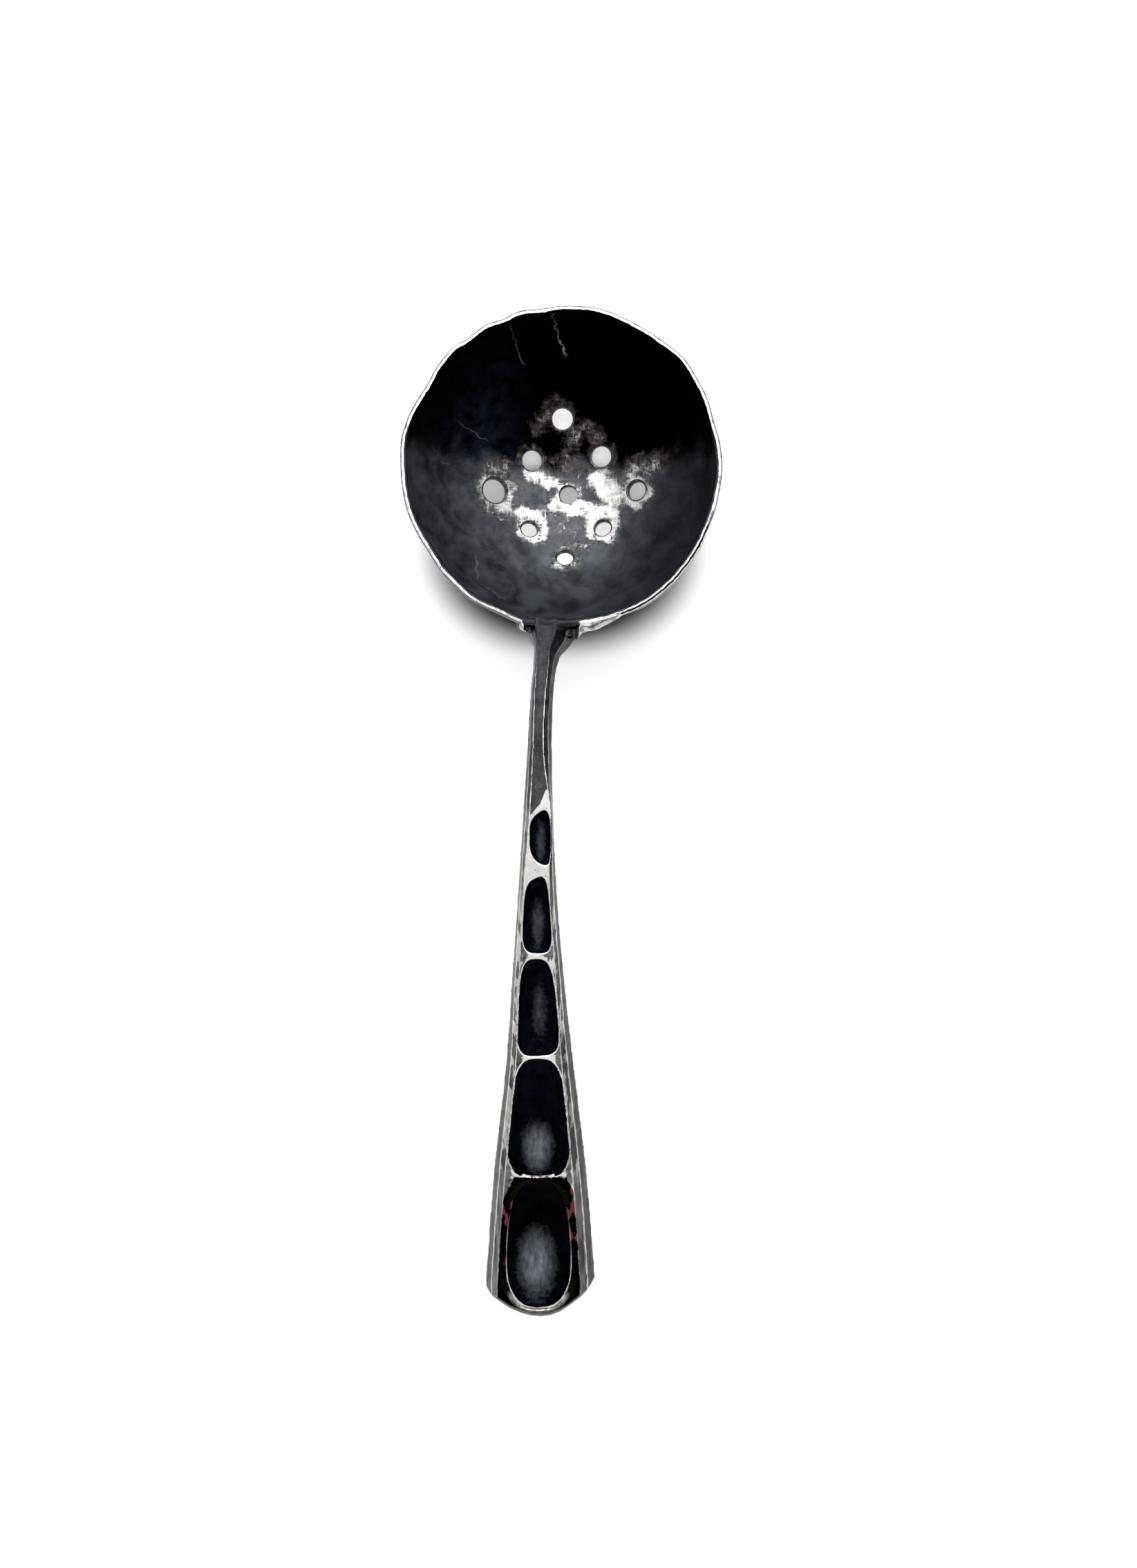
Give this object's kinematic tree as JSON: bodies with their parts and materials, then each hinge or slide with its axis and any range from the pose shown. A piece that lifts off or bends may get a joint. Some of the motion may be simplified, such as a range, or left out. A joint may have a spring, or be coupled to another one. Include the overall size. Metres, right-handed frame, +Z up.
{
  "type": "bar strainer",
  "caption": "Rigid bar strainer: a deep hammered bowl with drain holes, soldered to a tapering handle that has bevelled sides and hollow cells scooped along its top.",
  "frame": {"origin": "on the table, under the middle of the strainer's bounding box, as it rests on the flat under its bowl and on the end of its handle", "axes": "+Y from the handle's end to the bowl, +Z up out of the bowl's mouth, +X to the right of someone who holds the handle"},
  "size_m": [0.069, 0.2252, 0.0259],
  "materials": {
    "darkened_sheet": "hammered white metal, darkened blue-black inside, rubbed bright round the holes, at the rim and outside",
    "darkened_casting": "cast white metal, grey on stem and sides, matt blue-black in the cells, polished on the ridges between them",
    "bright_solder": "bright silver solder with a molten, wrinkled skin"
  },
  "bodies": {
    "root": {"bowl": "darkened_sheet", "handle": "darkened_casting", "solder_seam": "bright_solder"}
  },
  "joints": []
}
